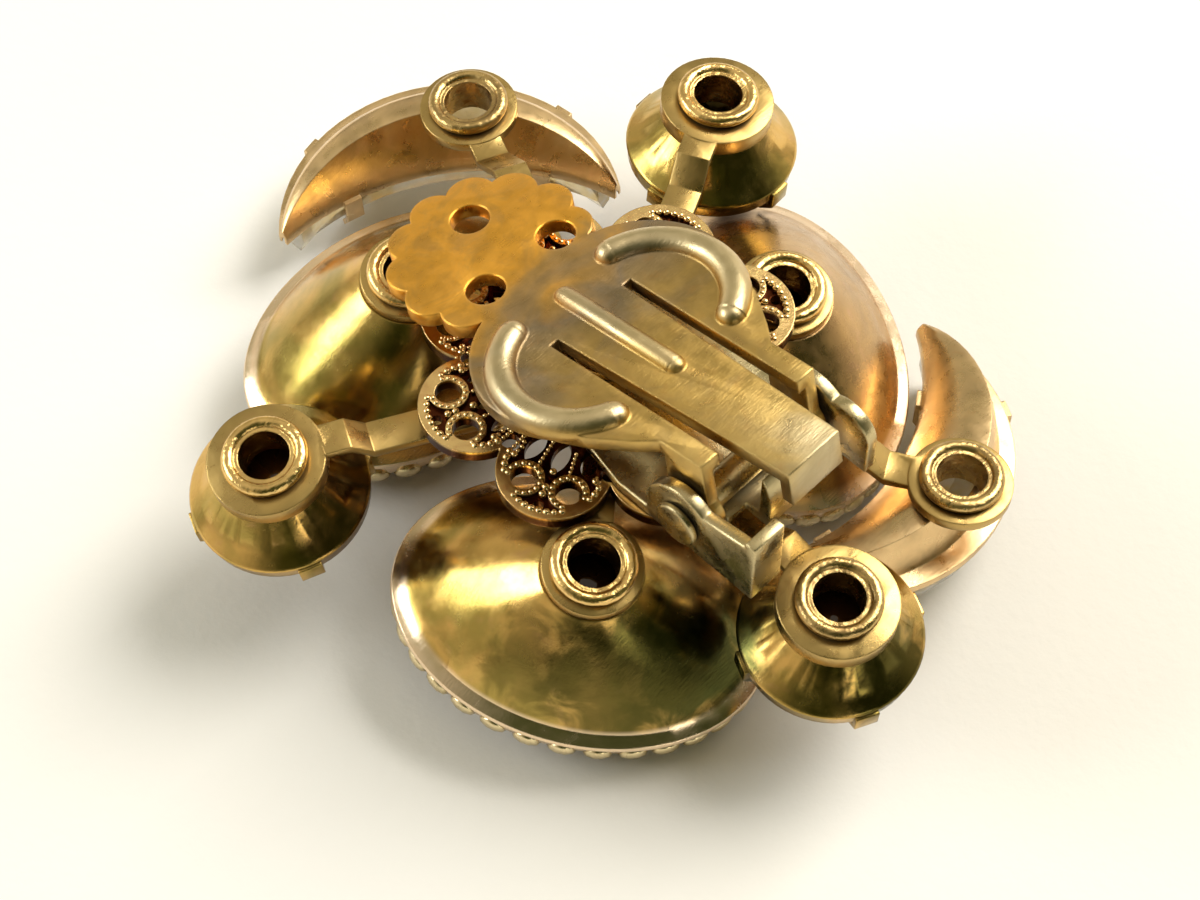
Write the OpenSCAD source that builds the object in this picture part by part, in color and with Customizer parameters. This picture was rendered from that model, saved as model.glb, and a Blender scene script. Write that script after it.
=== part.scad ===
// Clip-on cluster earring, lying on its stones with its back up.
// Eight stone cups are riveted to the ring pads of one arm frame. A pierced plate and a
// hinged clip sit on the frame's middle.
// Millimetres. +Z is the earring's back. +Y runs from the clip's hinge to its flower pad.

/* [Sheet metal] */
// Thickness of the arm frame's sheet
sheet_t = 0.4; // [0.3:0.05:0.5]
// Small gap between pieces that are riveted together
seat_gap = 0.03; // [0.02:0.01:0.05]
// Wall of the stone cups
cup_wall = 0.35; // [0.25:0.05:0.4]

/* [Large oval cups] */
// Half length of the oval cup at its rim
large_a = 7.1; // [6.8:0.1:7.4]
// Half width of the oval cup at its rim
large_b = 5.2; // [4.9:0.1:5.4]
// Depth of the cone from its flat top to the rim
large_depth = 4.1; // [3.8:0.1:4.2]
// Radius of the cone's flat top
large_top_r = 1.9; // [1.7:0.05:2.0]
// Number of teeth in the rim
tooth_count = 32; // [28:2:36]
// Height of the table face below the cup's flat top
large_table = 6.65; // [6.5:0.05:7.0]

/* [Small round cups] */
// Radius of the small cup at its rim
small_r = 3.4; // [3.3:0.05:3.5]
// Depth of the small cup from its flat top to the rim
small_depth = 2.1; // [2.0:0.1:2.4]
// Radius of the small cup's flat top
small_top_r = 1.5; // [1.4:0.05:1.6]

/* [Crescent cups] */
// Outer radius of the crescent
moon_r = 6.9; // [6.4:0.1:7]
// Distance from the outer arc's centre to the inner arc, on the axis of symmetry
moon_inner = 2.5; // [2.2:0.1:2.8]
// Half of the angle that the outer arc spans
moon_span = 92; // [80:1:98]
// Height of the ridge above the rim
moon_ridge = 2.1; // [1.8:0.1:2.3]

/* [Eyelets] */
// Inner radius of the eyelet's tube
eyelet_in_r = 0.95; // [0.85:0.05:1.0]
// Outer radius of the eyelet's tube
eyelet_out_r = 1.15; // [1.1:0.01:1.16]
// Radius of the rolled lip's section
roll_r = 0.25; // [0.2:0.05:0.3]

/* [Arm frame] */
// Width of an arm
arm_w = 1.3; // [1.1:0.1:1.6]
// Radius of the centre disc
hub_r = 3; // [2.6:0.1:3.4]
// Height of the frame's underside above the surface it rests on
frame_z = 6.95; // [6.9:0.05:7.1]

/* [Pierced plate] */
// Distance of the lobe centres from the plate's centre
lobe_ring_r = 5.2; // [5.0:0.1:5.4]
// Radius of a lobe
lobe_r = 2.1; // [2.0:0.05:2.2]
// Radius of the pierced ring holes
ring_hole_r = 0.5; // [0.4:0.05:0.55]
// Thickness of the plate under its wires
plate_t = 0.35; // [0.3:0.05:0.4]
// Height of the raised wires
wire_t = 0.2; // [0.15:0.05:0.25]

/* [Clip] */
// Pitch of the closed paddle, its flower end down
clip_pitch = 12; // [10:0.5:14]
// Distance from the pin's axis to the paddle's underside
pin_drop = 2.15; // [2.1:0.05:2.3]
// Thickness of the paddle's sheet
paddle_t = 0.6; // [0.5:0.05:0.7]
// Distance from the pin to the flower's centre
flower_y = 12.7; // [12.4:0.1:13]
// Radius of the flower without its scallops
flower_r = 3.6; // [3.4:0.1:3.8]
// Half width of the tongue where it leaves the shield
tongue_w = 1.65; // [1.5:0.05:1.7]
// Half width of the tongue's end
tongue_end_w = 1.25; // [1.0:0.05:1.3]
// Radius of the hinge pin
pin_r = 0.6; // [0.5:0.05:0.7]
// Running clearance around the hinge pin
pin_gap = 0.05; // [0.03:0.01:0.08]

/* [Hidden] */

// One row per setting. Bearing and reach place its eyelet from the plate's centre, height is
// that of the pad's underside, turn points its long axis or the crescent's back, and the two
// leans tip it about X and Y. For a crescent, set is the distance from its outer centre to the
// eyelet and slide is how far round the eyelet sits from the crescent's middle.
// name, kind, bearing, reach, height, turn, lean_x, lean_y, set, slide
SETTINGS = [
    ["large_left",     "large",    102.6,  8.82, 6.90, -10,   4.5,  -2.8, 0,    0  ],
    ["large_bottom",   "large",   -139.8,  8.19, 7.18, 120,  10.5,  -2.5, 0,    0  ],
    ["large_right",    "large",    -15.9,  7.57, 7.00,  60,   5.6,  -0.6, 0,    0  ],
    ["small_left",     "small",    151.4, 12.85, 7.25, -25,   1.4,  -9.9, 0,    0  ],
    ["small_bottom",   "small",    -96.2, 12.58, 7.35, -25,   5,    -2,   0,    0  ],
    ["small_top",      "small",     25.5, 13.10, 7.65,   5,   1,     4,   0,    0  ],
    ["crescent_top",   "crescent",  65.6, 15.26, 5.00,  31.7, -1.9, -1.3, 3.7, 21  ],
    ["crescent_right", "crescent", -60.1, 13.36, 4.95, -83.5, -1,    3.5, 5.4,  6  ]
];
NAME = 0;
KIND = 1;
BEARING = 2;
REACH = 3;
HEIGHT = 4;
TURN = 5;
LEAN_X = 6;
LEAN_Y = 7;
SET = 8;
SLIDE = 9;

// The box of the whole part is centred on the origin by this shift
shift_x = -0.45;
shift_y = -1.61;

$fn = 64;
bore_r = eyelet_out_r + 0.05;
pad_top = seat_gap + sheet_t;
frame_top = frame_z + sheet_t;
small_pad_r = 2.2;
large_pad_r = 1.85;
moon_pad_r = 1.95;
tooth_sides = 3 * tooth_count;
band_h = 0.95;
tooth_h = 0.6;

boss_r = 2;
lobe_count = 8;
lobe_turn = 22.5;
plate_z = 8.08;
wire_z = plate_z + plate_t;
base_z = wire_z + wire_t + 0.05;
base_t = 0.45;
rivet_r = 0.8;

clip_x = -0.3;
pin_y = -7.2;
pin_z = 10;
ear_in = 3.05;
ear_t = 0.5;
ear_round_r = 1.6;
paddle_ear_in = 2.35;
paddle_ear_out = 2.85;
tongue_y = 7.4;
tongue_end_y = -3.4;
pin_head_r = 0.9;
pin_head_t = 0.25;

function pad_radius(kind) = kind == "small" ? small_pad_r : kind == "large" ? large_pad_r : moon_pad_r;

// Points on an oval at one height
function oval(a, b, z, n) = [for (i = [0 : n - 1]) [a * cos(360 * i / n), b * sin(360 * i / n), z]];

// A ring between the cone's round top (t = 0) and the cup's oval (t = 1)
function cone_ring(t, top_r, a, b, z, n) =
    oval(top_r + (a - top_r) * t, top_r + (b - top_r) * t, z, n);

// A ring of teeth: every third point is a root, the two between are a tip
function tooth_ring(a, b, tip_in, tip_z, root_in, root_z, n) = [
    for (i = [0 : n - 1])
        let (inset = i % 3 == 0 ? root_in : tip_in, z = i % 3 == 0 ? root_z : tip_z)
        [(a - inset) * cos(360 * i / n), (b - inset) * sin(360 * i / n), z]
];

// Two triangles between points i and i + 1 of two neighbouring rings
function strip(from, to, n) = [
    for (i = [0 : n - 1], half = [0, 1])
        let (k = (i + 1) % n)
        half == 0 ? [from + i, from + k, to + k] : [from + i, to + k, to + i]
];

// A solid through a list of rings, closed by its flat first and last ring
module skin(rings) {
    n = len(rings[0]);
    last = len(rings) - 1;
    sides = [for (j = [0 : last - 1]) each strip(j * n, (j + 1) * n, n)];
    top = [for (i = [n - 1 : -1 : 0]) i];
    bottom = [for (i = [0 : n - 1]) last * n + i];
    polyhedron(points = [for (r = rings) each r], faces = concat([top], sides, [bottom]));
}

// A ring-shaped solid whose last ring joins its first
module hollow_skin(rings) {
    n = len(rings[0]);
    count = len(rings);
    faces = [for (j = [0 : count - 1]) each strip(j * n, ((j + 1) % count) * n, n)];
    polyhedron(points = [for (r = rings) each r], faces = faces);
}

// Moves a piece from its setting's own axis to its place on the earring
module at_setting(s) {
    angle = s[BEARING];
    translate([s[REACH] * cos(angle) + shift_x, s[REACH] * sin(angle) + shift_y, s[HEIGHT]])
        rotate([s[LEAN_X], s[LEAN_Y], 0])
            rotate([0, 0, s[TURN]])
                children();
}

module at_centre() {
    translate([shift_x, shift_y, 0]) children();
}

module large_cup() {
    n = tooth_sides;
    rim_z = -large_depth;
    band_z = rim_z - band_h;
    color("darkgoldenrod")
        hollow_skin([
            oval(bore_r, bore_r, 0, n),
            oval(large_top_r, large_top_r, 0, n),
            cone_ring(0.32, large_top_r, large_a - 0.5, large_b - 0.5, rim_z * 0.26, n),
            cone_ring(0.66, large_top_r, large_a - 0.5, large_b - 0.5, rim_z * 0.56, n),
            cone_ring(0.9, large_top_r, large_a - 0.5, large_b - 0.5, rim_z * 0.81, n),
            oval(large_a - 0.5, large_b - 0.5, rim_z * 0.93, n),
            oval(large_a - 0.06, large_b - 0.06, rim_z + 0.08, n),
            oval(large_a, large_b, rim_z - 0.08, n),
            oval(large_a - 0.2, large_b - 0.2, rim_z - 0.3, n),
            oval(large_a - 0.2, large_b - 0.2, band_z + 0.1, n),
            tooth_ring(large_a, large_b, 0.5, band_z - tooth_h, 0.22, band_z, n),
            tooth_ring(large_a, large_b, 0.7, band_z - tooth_h + 0.08, 0.45, band_z, n),
            oval(large_a - 0.45, large_b - 0.45, band_z + 0.15, n),
            oval(large_a - 0.5, large_b - 0.5, rim_z - 0.15, n),
            cone_ring(0.88, large_top_r, large_a - 0.75, large_b - 0.75, rim_z * 0.88, n),
            cone_ring(0.5, large_top_r, large_a - 0.75, large_b - 0.75, rim_z * 0.52, n),
            oval(large_top_r - 0.15, large_top_r - 0.15, -cup_wall, n),
            oval(bore_r, bore_r, -cup_wall, n)
        ]);
}

module small_cup() {
    rim_z = -small_depth;
    wall_r = small_r - 0.1;
    color("darkgoldenrod") {
        rotate_extrude()
            polygon([
                [bore_r, 0], [small_top_r, 0], [small_r - 0.45, rim_z + 0.3],
                [small_r - 0.1, rim_z + 0.12], [small_r, rim_z], [small_r - 0.1, rim_z - 0.15],
                [wall_r, rim_z - 0.6], [wall_r - 0.3, rim_z - 0.6], [wall_r - 0.3, rim_z - 0.05],
                [small_top_r, -cup_wall - 0.15], [small_top_r - 0.1, -cup_wall], [bore_r, -cup_wall]
            ]);
        for (k = [0 : 3])
            rotate([0, 0, 90 * k]) small_prong();
    }
}

// A prong bent in over the round stone, drawn in the plane of the cup's axis
module small_prong() {
    prong_w = 0.9;
    rim_z = -small_depth;
    rotate([90, 0, 0])
        linear_extrude(prong_w, center = true)
            polygon([
                [small_r - 0.15, rim_z - 0.1], [small_r + 0.08, rim_z - 0.1],
                [small_r + 0.08, rim_z - 0.85], [small_r - 0.5, rim_z - 1.3],
                [small_r - 0.68, rim_z - 1.12], [small_r - 0.18, rim_z - 0.75]
            ]);
}

// Outer point, inner point and width of the crescent at t, from -1 to 1 between its tips
function moon_outer(t) = [moon_r * cos(moon_span * t), moon_r * sin(moon_span * t)];
moon_chord_x = moon_r * cos(moon_span);
moon_half = moon_r * sin(moon_span);
moon_sag = moon_inner - moon_chord_x;
moon_in_r = (moon_half * moon_half + moon_sag * moon_sag) / (2 * moon_sag);
moon_in_angle = asin(moon_half / moon_in_r);
function moon_inside(t) = [
    moon_inner - moon_in_r + moon_in_r * cos(moon_in_angle * t),
    moon_in_r * sin(moon_in_angle * t)
];
moon_w = moon_r - moon_inner;
function moon_width(t) = norm(moon_outer(t) - moon_inside(t));

// A point of the crescent at t and at u of its width from the inner edge
function moon_point(t, u, z) =
    let (p = moon_inside(t) * (1 - u) + moon_outer(t) * u)
    [p[0], p[1], z];

// Moves a crescent from its own centre so that its eyelet's place comes to the origin
module moon_place(s) {
    translate([-s[SET], 0, 0]) rotate([0, 0, s[SLIDE]]) children();
}

// Share of the crescent's width at which its ridge runs
function moon_crest(s) = s[SET] < 4.5 ? 0.42 : 0.6;

// The cup's section at t: an open shell with a rounded ridge and a flat lip outside
function moon_section(t, crest) =
    let (
        w = moon_width(t),
        full = w / moon_w,
        d = min(0.3 / w, 0.3),
        rim = -moon_ridge,
        h = moon_ridge * pow(full, 0.7),
        edge = rim - 0.3,
        low = max(h - 0.38, 0.04)
    )
    [
        moon_point(t, 0, edge), moon_point(t, d, edge), moon_point(t, d, rim),
        moon_point(t, crest - 0.14, rim + low), moon_point(t, crest + 0.06, rim + low),
        moon_point(t, min(0.8, 1 - d), rim - 0.12), moon_point(t, 1 - d, edge),
        moon_point(t, 1, edge), moon_point(t, 1, rim + 0.04),
        moon_point(t, 0.83, rim + 0.05 + 0.06 * h), moon_point(t, (crest + 0.93) / 2, rim + 0.66 * h),
        moon_point(t, crest + 0.1, rim + h), moon_point(t, crest - 0.12, rim + h),
        moon_point(t, crest * 0.42, rim + 0.66 * h), moon_point(t, 0.05, rim + 0.22 * h),
        moon_point(t, 0, rim)
    ];

// The open shell's flat end, as faces between its outer and inner points
function shell_end(first, flip) =
    let (quads = [
        [0, 1, 2, 15], [15, 2, 14], [14, 2, 3, 13], [13, 3, 12], [12, 3, 4, 11],
        [11, 4, 10], [10, 4, 5, 9], [9, 5, 8], [8, 5, 6, 7]
    ])
    [for (q = quads) let (m = len(q)) [for (i = [0 : m - 1]) first + q[flip ? m - 1 - i : i]]];

module moon_shell(crest) {
    stations = 30;
    tip = 0.95;
    n = 16;
    rings = [for (j = [0 : stations]) moon_section(-tip + 2 * tip * j / stations, crest)];
    sides = [for (j = [0 : stations - 1]) each strip(j * n, (j + 1) * n, n)];
    polyhedron(
        points = [for (r = rings) each r],
        faces = concat(shell_end(0, true), sides, shell_end(stations * n, false))
    );
}

// A prong of the crescent, bent in over the glass; side is 1 outside and -1 inside
module moon_prong(t, side) {
    edge = side > 0 ? moon_point(t, 1, 0) : moon_point(t, 0, 0);
    facing = side > 0 ? moon_span * t : moon_in_angle * t + 180;
    rim = -moon_ridge;
    translate(edge)
        rotate([0, 0, facing])
            rotate([90, 0, 0])
                linear_extrude(0.75, center = true)
                    polygon([
                        [-0.1, rim - 0.05], [0.2, rim - 0.05], [0.2, rim - 1.15],
                        [-0.3, rim - 1.85], [-0.45, rim - 1.68], [0, rim - 1.1], [0, rim - 0.25]
                    ]);
}

module crescent_cup(s) {
    color("darkgoldenrod") {
        difference() {
            moon_place(s) moon_shell(moon_crest(s));
            translate([0, 0, -1]) cylinder(r = bore_r, h = 2);
        }
        for (t = [-0.52, 0.52], side = [-1, 1])
            moon_place(s) moon_prong(t, side);
    }
}

module cup(s) {
    if (s[KIND] == "large") large_cup();
    if (s[KIND] == "small") small_cup();
    if (s[KIND] == "crescent") crescent_cup(s);
}

// A brilliant of n sides with a table below and a culet above, girdle at girdle_z
module cut_stone(a, b, n, table_z, girdle_z, culet_z) {
    crown_h = girdle_z - table_z;
    belt = 0.22;
    top = culet_z - girdle_z - belt;
    color("goldenrod")
        skin([
            oval(a * 0.05, b * 0.05, culet_z, n),
            oval(a * 0.55, b * 0.55, girdle_z + belt + top * 0.48, n),
            oval(a, b, girdle_z + belt, n),
            oval(a, b, girdle_z, n),
            oval(a * 0.84, b * 0.84, girdle_z - crown_h * 0.55, n),
            oval(a * 0.62, b * 0.62, table_z, n)
        ]);
}

module crescent_stone(s) {
    stations = 16;
    reach = 0.84;
    top = -moon_ridge - 0.36;
    color("whitesmoke")
        moon_place(s) skin([
            for (j = [0 : stations])
                let (t = -reach + 2 * reach * j / stations, w = moon_width(t) / moon_w)
                [
                    moon_point(t, 0.3, top - 1.5), moon_point(t, 0.7, top - 1.5),
                    moon_point(t, 0.94, top - 0.75), moon_point(t, 0.94, top - 0.05),
                    moon_point(t, 0.5, top + 0.5 * w * w),
                    moon_point(t, 0.06, top - 0.05), moon_point(t, 0.06, top - 0.75)
                ]
        ]);
}

module stone(s) {
    if (s[KIND] == "large")
        cut_stone(large_a - 0.62, large_b - 0.62, 16, -large_table, -large_depth - 0.9, -1.25);
    if (s[KIND] == "small")
        cut_stone(small_r - 0.52, small_r - 0.52, 16, -3.6, -small_depth - 0.55, -1.0);
    if (s[KIND] == "crescent") crescent_stone(s);
}

// A hollow rivet: a plain tube below and the lip rolled over the pad
module eyelet() {
    lip_z = pad_top + seat_gap;
    tube_z = -0.75;
    color("gold")
        rotate_extrude()
            union() {
                translate([eyelet_in_r, tube_z])
                    square([eyelet_out_r - eyelet_in_r, lip_z + 0.35 - tube_z]);
                translate([eyelet_in_r + 0.1, lip_z]) square([0.3, roll_r]);
                translate([1.34, lip_z + roll_r]) circle(roll_r, $fn = 32);
            }
}

// Height of a leaning pad's underside where its arm meets it, above the pad's middle
function edge_rise(s) =
    let (r = pad_radius(s[KIND]), ax = s[LEAN_X], ay = s[LEAN_Y])
    (sin(ay) * cos(ax) * cos(s[BEARING]) - sin(ax) * sin(s[BEARING])) * r / (cos(ax) * cos(ay));

// The strip from the centre disc to one pad, drawn from the side and given its width
module arm(s) {
    pad_edge = s[REACH] - pad_radius(s[KIND]);
    drop = s[HEIGHT] + seat_gap + edge_rise(s) - frame_z;
    run = max(0.8, abs(drop) * 1.1);
    ledge = 0.8;
    thin = 0.02;
    knee = pad_edge - ledge - run;
    pad_z = frame_z + drop;
    rotate([0, 0, s[BEARING]])
        rotate([90, 0, 0])
            linear_extrude(arm_w, center = true)
                polygon([
                    [hub_r - 0.5, frame_z + thin], [knee, frame_z + thin], [pad_edge - ledge, pad_z + 0.05],
                    [pad_edge + 0.2, pad_z + 0.09], [pad_edge + 0.2, pad_z + sheet_t - 0.04],
                    [pad_edge - ledge, pad_z + sheet_t], [knee, frame_top - thin],
                    [hub_r - 0.5, frame_top - thin]
                ]);
}

// A ring pad; the small cups' pads have a turned-down edge
module pad(kind) {
    skirt_t = 0.28;
    skirt_h = 0.3;
    difference() {
        union() {
            translate([0, 0, seat_gap]) cylinder(r = pad_radius(kind), h = sheet_t);
            if (kind == "small")
                translate([0, 0, seat_gap - skirt_h]) cylinder(r = small_pad_r, h = sheet_t);
        }
        translate([0, 0, -1]) cylinder(r = bore_r, h = 2);
        if (kind == "small")
            translate([0, 0, -1]) cylinder(r = small_pad_r - skirt_t, h = 1 + seat_gap);
    }
}

module arm_frame() {
    color("tan")
        difference() {
            union() {
                at_centre() {
                    translate([0, 0, frame_z]) cylinder(r = hub_r, h = sheet_t);
                    for (s = SETTINGS)
                        arm(s);
                }
                for (s = SETTINGS)
                    at_setting(s) pad(s[KIND]);
            }
            at_centre() translate([0, 0, frame_z - 1]) cylinder(r = rivet_r + seat_gap, h = 3);
        }
}

// A lens-shaped opening, pointing along +X, from two crossing circles
module lens(length, width) {
    r = (length * length / 4 + width * width / 4) / width;
    intersection() {
        translate([0, r - width / 2]) circle(r);
        translate([0, width / 2 - r]) circle(r);
    }
}

// Places its children around the plate's centre, count times
module around(count, first) {
    for (k = [0 : count - 1])
        rotate([0, 0, first + 360 * k / count]) children();
}

// The plate's outline without its openings
module plate_outline() {
    circle(r = lobe_ring_r + 0.3);
    around(lobe_count, lobe_turn) translate([lobe_ring_r, 0]) circle(r = lobe_r);
}

// The openings, cut right through: ring holes, fans, valley holes and the inner petals
module plate_openings() {
    ring_turn = 8.2;
    ring_r = lobe_ring_r + 0.78;
    around(lobe_count, lobe_turn) {
        for (side = [-1, 1])
            rotate([0, 0, side * ring_turn]) translate([ring_r, 0]) circle(r = ring_hole_r, $fn = 24);
        for (fan = [-1, 0, 1])
            rotate([0, 0, fan * 13]) translate([4.55, 0]) lens(1.5 - 0.15 * abs(fan), 0.62);
        translate([lobe_ring_r + 1.52, 0]) circle(r = 0.2, $fn = 16);
    }
    around(lobe_count, 0) {
        translate([5.02, 0]) circle(r = 0.36, $fn = 24);
        translate([3.15, 0]) lens(1.5, 0.62);
    }
    around(lobe_count, lobe_turn) translate([2.95, 0]) lens(1.2, 0.5);
}

// The raised wires: lobe borders, ring borders and two plain circles
module plate_wires() {
    border = 0.34;
    ring_turn = 8.2;
    ring_r = lobe_ring_r + 0.78;
    difference() {
        plate_outline();
        around(lobe_count, lobe_turn) translate([lobe_ring_r, 0]) circle(r = lobe_r - border);
        circle(r = lobe_ring_r);
    }
    around(lobe_count, lobe_turn)
        for (side = [-1, 1])
            rotate([0, 0, side * ring_turn]) translate([ring_r, 0]) circle(r = ring_hole_r + 0.24, $fn = 24);
    for (r = [3.75, 2.3])
        difference() {
            circle(r = r + 0.16);
            circle(r = r - 0.16);
        }
}

module filigree_plate() {
    boss_z = frame_top + seat_gap;
    color("goldenrod")
        at_centre()
            difference() {
                union() {
                    translate([0, 0, boss_z]) cylinder(r = boss_r, h = plate_z + plate_t - boss_z);
                    translate([0, 0, plate_z])
                        linear_extrude(plate_t)
                            difference() {
                                plate_outline();
                                plate_openings();
                            }
                    translate([0, 0, wire_z - 0.05])
                        linear_extrude(wire_t + 0.05)
                            difference() {
                                plate_wires();
                                plate_openings();
                            }
                }
                translate([0, 0, frame_z]) cylinder(r = rivet_r + seat_gap, h = 3);
            }
}

// A plain rivet through the bracket, the plate and the frame
module centre_rivet() {
    head_r = 1.4;
    head_t = 0.35;
    low = frame_z - seat_gap;
    high = base_z + base_t + seat_gap;
    color("gold")
        at_centre() {
            translate([0, 0, low - head_t]) cylinder(r = head_r, h = head_t);
            translate([0, 0, low - 0.01]) cylinder(r = rivet_r, h = high - low + 0.02);
            translate([0, 0, high]) cylinder(r = head_r, h = head_t);
        }
}

// Moves a piece to the clip's centre line, with its origin on the hinge pin
module at_pin() {
    translate([clip_x + shift_x, pin_y + shift_y, pin_z]) children();
}

// Draws a plate in the Y-Z plane between two X positions
module side_plate(x_from, x_to) {
    translate([x_from, 0, 0])
        rotate([90, 0, 90])
            linear_extrude(x_to - x_from)
                children();
}

// Keeps what lies above one height in a side view
module above(height) {
    intersection() {
        children();
        translate([-8, height]) square([16, 8]);
    }
}

module clip_bracket() {
    low = base_z - pin_z;
    tab_y = -3.42;
    tab_t = 0.47;
    tab_w = 1.5;
    tab_top = 1.9;
    wall_in = 1.4;
    wall_r = 1.9;
    wall_w = 1;
    ear_out = ear_in + ear_t;
    foot_y = 1.5;
    strip_w = 1.9;
    color("darkkhaki")
        difference() {
            union() {
                // base plate with a round end over the rivet
                at_pin()
                    translate([0, 0, low])
                        linear_extrude(base_t)
                            union() {
                                translate([-clip_x, -pin_y]) circle(r = 3);
                                polygon([
                                    [-ear_out, foot_y], [-strip_w, foot_y], [-strip_w, -0.8],
                                    [-wall_w, -0.8], [-wall_w, -wall_r], [wall_w, -wall_r],
                                    [wall_w, -0.8], [strip_w, -0.8], [strip_w, foot_y],
                                    [ear_out, foot_y], [ear_out, 3], [3 - clip_x, -pin_y],
                                    [-3 - clip_x, -pin_y], [-ear_out, 3]
                                ]);
                                translate([-ear_out, tab_y]) square([tab_w, -foot_y - tab_y]);
                            }
                // left ear, drawn out to the end tab
                at_pin()
                    side_plate(-ear_out, -ear_in)
                        above(low)
                            union() {
                                circle(r = ear_round_r);
                                translate([-ear_round_r, low]) square([ear_round_r + 3, base_t]);
                                translate([-ear_round_r, low]) square([2 * ear_round_r, -low]);
                                polygon([
                                    [tab_y, low], [0, low], [0, 1], [-1, 1.25], [tab_y, tab_top - 0.2]
                                ]);
                            }
                at_pin()
                    translate([-ear_out, tab_y, low]) cube([tab_w, tab_t, tab_top - low]);
                // right ear with its round end
                at_pin()
                    side_plate(ear_in, ear_out)
                        above(low)
                            union() {
                                circle(r = ear_round_r);
                                translate([-ear_round_r, low]) square([ear_round_r + 3, base_t]);
                                translate([-ear_round_r, low]) square([2 * ear_round_r, -low]);
                                translate([-1.6, 0.25]) circle(r = 1.2);
                                translate([-2.8, low]) square([1.2, 0.25 - low]);
                            }
                // the base's end, curled up under the tongue
                at_pin()
                    side_plate(-wall_w, wall_w)
                        union() {
                            translate([-wall_r, low]) square([wall_r - wall_in, -low]);
                            intersection() {
                                circle(r = wall_r);
                                translate([-wall_r, -0.1]) square([wall_r - wall_in, 2]);
                            }
                        }
            }
            at_pin()
                rotate([0, 90, 0]) cylinder(r = pin_r + pin_gap, h = 12, center = true);
            at_centre() translate([0, 0, base_z - 1]) cylinder(r = rivet_r + seat_gap, h = 3);
        }
}

module hinge_pin() {
    ear_out = ear_in + ear_t + 0.05;
    color("gold")
        at_pin()
            rotate([0, 90, 0]) {
                cylinder(r = pin_r, h = 2 * ear_out + 0.02, center = true);
                for (side = [-1, 1])
                    translate([0, 0, side * (ear_out + pin_head_t / 2)])
                        cylinder(r = pin_head_r, h = pin_head_t, center = true);
            }
}

// The paddle's outline: scalloped flower, shield, and the strips that carry the ears
module paddle_outline() {
    scallops = 12;
    lobe = 1;
    shoulder_x = 1.6;
    shoulder_y = 6.6;
    shoulder_r = 3.8;
    strip_end = -0.8;
    translate([0, flower_y]) {
        circle(r = flower_r - 0.4);
        for (k = [0 : scallops - 1])
            rotate([0, 0, 90 + 360 * k / scallops])
                translate([flower_r - 0.65, 0]) circle(r = lobe, $fn = 32);
    }
    for (side = [-1, 1])
        translate([side * shoulder_x, shoulder_y]) circle(r = shoulder_r);
    polygon([
        [-2.6, 9.6], [-5.1, 5.2], [-4.3, 3.3], [-3.4, 1.9], [-paddle_ear_out, 1.2],
        [-paddle_ear_out, strip_end], [paddle_ear_out, strip_end], [paddle_ear_out, 1.2],
        [3.4, 1.9], [4.3, 3.3], [5.1, 5.2], [2.6, 9.6]
    ]);
}

// What the tongue's slots and the gap between the ear strips take out
module paddle_slots() {
    strip_in = 2.0;
    polygon([
        [-strip_in - 0.05, tongue_y], [-strip_in, -2], [strip_in, -2], [strip_in + 0.05, tongue_y]
    ]);
}

module tongue() {
    polygon([
        [-tongue_w, tongue_y + 0.2], [-tongue_end_w, tongue_end_y],
        [tongue_end_w, tongue_end_y], [tongue_w, tongue_y + 0.2]
    ]);
}

module flower_holes() {
    hole_r = 0.75;
    for (p = [[0.6, 14.4], [-1.54, 11.3], [1.97, 11.2]])
        translate(p) circle(r = hole_r, $fn = 32);
}

// A raised round rib along a straight line of the paddle
module straight_rib(from_y, to_y, r) {
    translate([0, from_y, 0])
        rotate([-90, 0, 0]) cylinder(r = r, h = to_y - from_y, $fn = 32);
    for (y = [from_y, to_y])
        translate([0, y, 0]) rotate([90, 0, 0]) sphere(r = 0.96 * r, $fn = 32);
}

// A raised rib bent along one side of the shield; side is 1 on the right
module bent_rib(side, r) {
    bend_r = 3;
    first = 104;
    sweep = 142;
    translate([side * 1.75, 6.0, 0])
        mirror([side > 0 ? 1 : 0, 0, 0]) {
            rotate([0, 0, first])
                rotate_extrude(angle = sweep) translate([bend_r, 0]) circle(r = r, $fn = 32);
            for (end = [first, first + sweep])
                rotate([0, 0, end])
                    translate([bend_r, 0, 0]) rotate([90, 0, 0]) sphere(r = 0.96 * r, $fn = 32);
        }
}

module clip_paddle() {
    rib_sink = 0.12;
    lip_h = 1.6;
    lip_t = 0.5;
    ear_r = 1.05;
    color("peru")
        at_pin()
            rotate([-clip_pitch, 0, 0])
                difference() {
                    union() {
                        translate([0, 0, pin_drop])
                            linear_extrude(paddle_t)
                                difference() {
                                    union() {
                                        difference() {
                                            paddle_outline();
                                            paddle_slots();
                                        }
                                        tongue();
                                    }
                                    flower_holes();
                                }
                        translate([0, 0, pin_drop + paddle_t - rib_sink])
                            intersection() {
                                union() {
                                    straight_rib(3.2, 8.7, 0.45);
                                    for (side = [-1, 1])
                                        bent_rib(side, 0.6);
                                }
                                translate([-8, 0, -0.3]) cube([16, 16, 2]);
                            }
                        // the tongue's end, bent down
                        translate([-tongue_end_w, tongue_end_y, pin_drop + paddle_t - lip_h])
                            cube([2 * tongue_end_w, lip_t, lip_h]);
                        for (side = [-1, 1])
                            mirror([side > 0 ? 1 : 0, 0, 0])
                                side_plate(-paddle_ear_out, -paddle_ear_in)
                                    union() {
                                        circle(r = ear_r);
                                        translate([-0.8, 0]) square([0.8 + ear_r, pin_drop + 0.1]);
                                    }
                    }
                    rotate([0, 90, 0]) cylinder(r = pin_r + pin_gap, h = 8, center = true);
                }
}

arm_frame();
filigree_plate();
centre_rivet();
clip_bracket();
hinge_pin();
clip_paddle();
for (s = SETTINGS) {
    at_setting(s) cup(s);
    at_setting(s) eyelet();
    at_setting(s) stone(s);
}
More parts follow.
